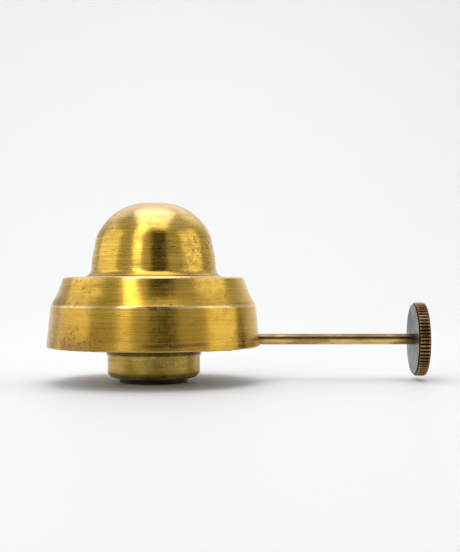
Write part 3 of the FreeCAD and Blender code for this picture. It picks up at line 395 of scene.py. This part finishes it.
def wick_cotton():
    """Undyed cotton, scorched at its top edge."""
    f = Finish("wick_cotton", Roughness=0.9, Sheen_Weight=0.3)
    fibre = f.noise(f.vector(f.x, f.y, f.z * 0.35), 6500.0, 4.0, 0.7)
    clouds = f.noise(f.place, 260.0, 3.0, 0.6)
    colour = f.blend(fibre, (0.58, 0.50, 0.36), (0.80, 0.74, 0.60))
    colour = f.blend(f.fade(clouds, 0.4, 0.75) * 0.35, colour, (0.55, 0.43, 0.26))
    edge = WICK[1].z + (clouds - 0.5) * (3.0 * MM)
    scorch = f.fade(edge - f.z, 0.2 * MM, 3.2 * MM, 1.0, 0.0)
    colour = f.blend(scorch, colour, (0.03, 0.022, 0.016))
    return f.finish(Base_Color=colour, Normal=f.bump(fibre, 0.05 * MM))


def packing_fibre():
    """Greased hemp packing."""
    f = Finish("packing_fibre", Roughness=0.6)
    across, up = rod_coordinates(f)
    lay = f.noise(f.vector(f.x * 2.0, across, up), 3600.0, 4.0, 0.7)
    colour = f.blend(lay, (0.10, 0.075, 0.05), (0.27, 0.21, 0.14))
    return f.finish(Base_Color=colour, Normal=f.bump(lay, 0.06 * MM))


# ---- woven wick and gland packing --------------------------------------------------------------

def add_mesh(name, rows, finish):
    """A closed piece from rows of points; every row is a ring, and the end rows are capped."""
    mesh = bmesh.new()
    rings = [[mesh.verts.new(point) for point in row] for row in rows]
    for low, high in zip(rings, rings[1:]):
        for i in range(len(low)):
            after = (i + 1) % len(low)
            mesh.faces.new((low[i], low[after], high[after], high[i]))
    mesh.faces.new(reversed(rings[0]))
    mesh.faces.new(rings[-1])
    data = bpy.data.meshes.new(name)
    mesh.to_mesh(data)
    mesh.free()
    data.shade_smooth()
    data.materials.append(finish)
    made = bpy.data.objects.new(name, data)
    bpy.context.collection.objects.link(made)
    return made


def weave(column, row):
    """Height from 0 to 1 of a plain weave, in yarns across and yarns up."""
    warp_number = round(column)
    weft_number = round(row)
    over = 0.5 + 0.5 * (-1) ** warp_number * math.cos(math.pi * row)
    under = 0.5 - 0.5 * (-1) ** weft_number * math.cos(math.pi * column)
    warp = math.cos(math.pi * (column - warp_number)) * over
    weft = math.cos(math.pi * (row - weft_number)) * under
    return max(warp, weft)


def oblong_point(share, half_length, half_width):
    """A place and an outward direction on a flat oval, from a share of the way round."""
    reach = half_length - half_width
    straight = 2 * reach
    bend = math.pi * half_width
    way = share * 2 * (straight + bend)
    side = 1
    if way >= straight + bend:
        way = way - straight - bend
        side = -1
    if way < straight:
        return Vector((reach - way, half_width, 0)) * side, Vector((0, 1, 0)) * side
    turn = (way - straight) / half_width
    out = Vector((-math.sin(turn), math.cos(turn), 0))
    return (Vector((-reach, 0, 0)) + out * half_width) * side, out * side


def woven_wick():
    """Flat cotton wick: plain weave, two furrows pressed by the spur wheels, a burnt ragged top."""
    yarns_round, yarn_rise, depth, steps = 52, 0.62 * MM, 0.16 * MM, 4
    half_length = (WICK[1].x - WICK[0].x) / 2
    half_width = -WICK[0].y
    wheels = [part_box("spur_wheel_left"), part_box("spur_wheel_right")]
    furrow_floor = wheels[0][0].y - 0.32 * MM
    furrows = [(low.x + high.x) / 2 for low, high in wheels]
    furrow_half, furrow_edge = 0.8 * MM, 0.25 * MM
    height = WICK[1].z - WICK[0].z
    levels = int(height / yarn_rise) * steps
    ragged = 0.9 * MM
    rng = random.Random(4)
    tufts = [rng.random() for _ in range(yarns_round)]
    rows = []
    for k in range(levels + 1):
        z = WICK[0].z + height * k / levels
        ring = []
        for i in range(yarns_round * steps):
            place, out = oblong_point(i / (yarns_round * steps), half_length, half_width)
            relief = weave(i / steps, (z - WICK[0].z) / yarn_rise)
            point = place - out * depth * (1 - relief)
            for middle in furrows:
                beside = abs(point.x - middle) - furrow_half
                press = min(max(1 - beside / furrow_edge, 0.0), 1.0)
                if point.y > furrow_floor:
                    point.y = point.y + (furrow_floor - point.y) * press
            short = ragged * tufts[(i // steps) % yarns_round] * (k / levels) ** 12
            ring.append((point.x, point.y, z - short))
        rows.append(ring)
    # the cut end: loops pulled in towards the middle of the wick
    rim = rows[-1]
    for inset, drop in ((0.72, 0.02), (0.42, 0.16), (0.12, 0.10)):
        ring = []
        for i, (x, y, z) in enumerate(rim):
            core = max(-half_length + half_width, min(half_length - half_width, x))
            lump = 0.12 * MM * math.sin(i * 1.9) * math.sin(x / (0.35 * MM))
            ring.append((core + (x - core) * inset, y * inset, z - drop * MM + lump * (1 - inset)))
        rows.append(ring)
    piece = add_mesh("wick_weave", rows, wick_cotton())
    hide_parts("wick")
    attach(piece, "wick")


def packing_cord():
    """The gland's packing: a three-strand cord wound round the spindle and squeezed into its seat."""
    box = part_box("gland_packing")
    turns, per_turn, around = 3, 60, 18
    inner = SPINDLE_RADIUS + 0.08 * MM
    outer = (box[1].y - box[0].y) / 2 - 0.03 * MM
    cord = (outer - inner) / 2
    middle = (outer + inner) / 2
    length = box[1].x - box[0].x - 2 * cord
    centre_y = (box[0].y + box[1].y) / 2
    centre_z = (box[0].z + box[1].z) / 2
    rows = []
    for k in range(turns * per_turn + 1):
        angle = 2 * math.pi * k / per_turn
        x = box[0].x + cord + length * k / (turns * per_turn)
        out = Vector((0, math.cos(angle), math.sin(angle)))
        ring = []
        for i in range(around):
            phi = 2 * math.pi * i / around
            size = cord * (0.86 + 0.14 * math.cos(3 * (phi - angle * 2.5)))
            centre = Vector((x + size * math.sin(phi), centre_y, centre_z))
            ring.append(tuple(out * (middle + size * math.cos(phi)) + centre))
        rows.append(ring)
    piece = add_mesh("packing_cord", rows, packing_fibre())
    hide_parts("gland_packing")
    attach(piece, "burner")


def paint(finish, *nodes):
    """Gives CAD nodes a finish."""
    for name in nodes:
        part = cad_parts[name]
        part.data.materials.clear()
        part.data.materials.append(finish)


paint(hood_brass(), "flame_hood")
paint(cup_brass(), "neck_cup", "end_bearing", "gland_body", "gland_nut")
paint(inner_brass(), "draught_basket", "wick_tube", "cup_lid", "vent_tube", "neck_sleeve")
paint(spring_brass(), "hood_clip_1", "hood_clip_2", "hood_clip_3", "clip_rivets")
paint(rod_brass(), "spindle", "thrust_collar")
paint(knob_bronze(), "knob")
paint(wheel_steel(), "spur_wheel_left", "spur_wheel_right")
paint(gasket_rubber(), "neck_gasket")
woven_wick()
packing_cord()


# ---- table, light and camera -------------------------------------------------------------------

def sweep():
    """A pale table that curves up into a backdrop behind the burner."""
    near, far, height, bend, half = -1.2, 0.9, 1.3, 0.5, 1.6
    steps = 16
    run = [(near, 0.0), (far - bend, 0.0)]
    for i in range(1, steps + 1):
        turn = math.pi / 2 * i / steps
        run.append((far - bend + bend * math.sin(turn), bend - bend * math.cos(turn)))
    run.append((far, height))
    mesh = bmesh.new()
    rows = [[mesh.verts.new((side * half, y, z)) for side in (-1, 1)] for y, z in run]
    for low, high in zip(rows, rows[1:]):
        mesh.faces.new((low[0], low[1], high[1], high[0]))
    data = bpy.data.meshes.new("table_sweep")
    mesh.to_mesh(data)
    mesh.free()
    data.shade_smooth()
    made = bpy.data.objects.new("table_sweep", data)
    bpy.context.collection.objects.link(made)
    f = Finish("table_paper", Roughness=0.55)
    tooth = f.noise(f.place, 1400.0, 3.0, 0.6)
    data.materials.append(f.finish(Base_Color=f.blend(tooth, (0.94, 0.94, 0.94), (0.97, 0.97, 0.97))))


def towards(azimuth, elevation, distance, aim):
    """A place seen from aim at an azimuth (0 in front, 90 on the right) and elevation."""
    a = math.radians(azimuth)
    e = math.radians(elevation)
    step = Vector((math.sin(a) * math.cos(e), -math.cos(a) * math.cos(e), math.sin(e)))
    return aim + step * distance


AIM = Vector((0.0, 0.0, 25 * MM))


def softbox(name, azimuth, elevation, distance, width, height, glow, aim=AIM):
    """A soft lamp whose face has the brightness glow."""
    lamp = bpy.data.lights.new(name, "AREA")
    lamp.shape = "RECTANGLE"
    lamp.size = width
    lamp.size_y = height
    lamp.energy = glow * math.pi * width * height
    made = bpy.data.objects.new(name, lamp)
    bpy.context.collection.objects.link(made)
    made.location = towards(azimuth, elevation, distance, aim)
    made.rotation_euler = (aim - made.location).to_track_quat("-Z", "Y").to_euler()


def card(name, azimuth, elevation, distance, width, height, shade):
    """A plain dark card that the metal mirrors."""
    bpy.ops.mesh.primitive_plane_add(size=1.0)
    made = bpy.context.object
    made.name = name
    made.scale = (width, height, 1.0)
    made.location = towards(azimuth, elevation, distance, AIM)
    made.rotation_euler = (AIM - made.location).to_track_quat("Z", "Y").to_euler()
    f = Finish(name, Roughness=0.9, Base_Color=(shade, shade, shade, 1.0))
    made.data.materials.append(f.material)
    made.visible_camera = False


def studio():
    world = bpy.data.worlds.new("studio")
    bpy.context.scene.world = world
    world.use_nodes = True
    world.node_tree.nodes["Background"].inputs[0].default_value = (0.97, 0.98, 1.0, 1.0)
    world.node_tree.nodes["Background"].inputs[1].default_value = 0.42
    softbox("left_box", -94, 16, 0.9, 0.85, 0.9, 0.74)
    softbox("right_box", 84, 16, 0.9, 0.68, 0.9, 0.80)
    softbox("key_strip", -28, 40, 0.8, 0.20, 0.70, 2.4)
    softbox("low_strip", -27, 7, 0.9, 0.24, 0.24, 0.5)
    softbox("top_box", 0, 89, 0.9, 0.70, 0.9, 1.75)
    softbox("back_box", 180, 52, 0.8, 1.2, 0.5, 0.4)
    softbox("wall_wash", 0, 50, 0.45, 1.6, 0.5, 0.3, Vector((0.0, 0.88, 0.42)))
    card("dark_front", 14, 18, 0.5, 0.26, 0.84, 0.012)
    card("dark_low", 14, 0, 0.48, 0.25, 0.22, 0.05)


def camera():
    lens = bpy.data.cameras.new("camera")
    lens.lens = 65.2
    lens.clip_start = 0.01
    made = bpy.data.objects.new("camera", lens)
    bpy.context.collection.objects.link(made)
    bpy.context.scene.camera = made
    eye = Vector((20.92, -275.0, 26.0)) * MM
    aim = Vector((20.92, 0.0, 29.0)) * MM
    made.location = eye
    look = (aim - eye).to_track_quat("-Z", "Y").to_euler()
    look.rotate_axis("Z", math.radians(-0.05))
    made.rotation_euler = look


sweep()
studio()
camera()
bpy.context.scene.view_settings.view_transform = "Standard"
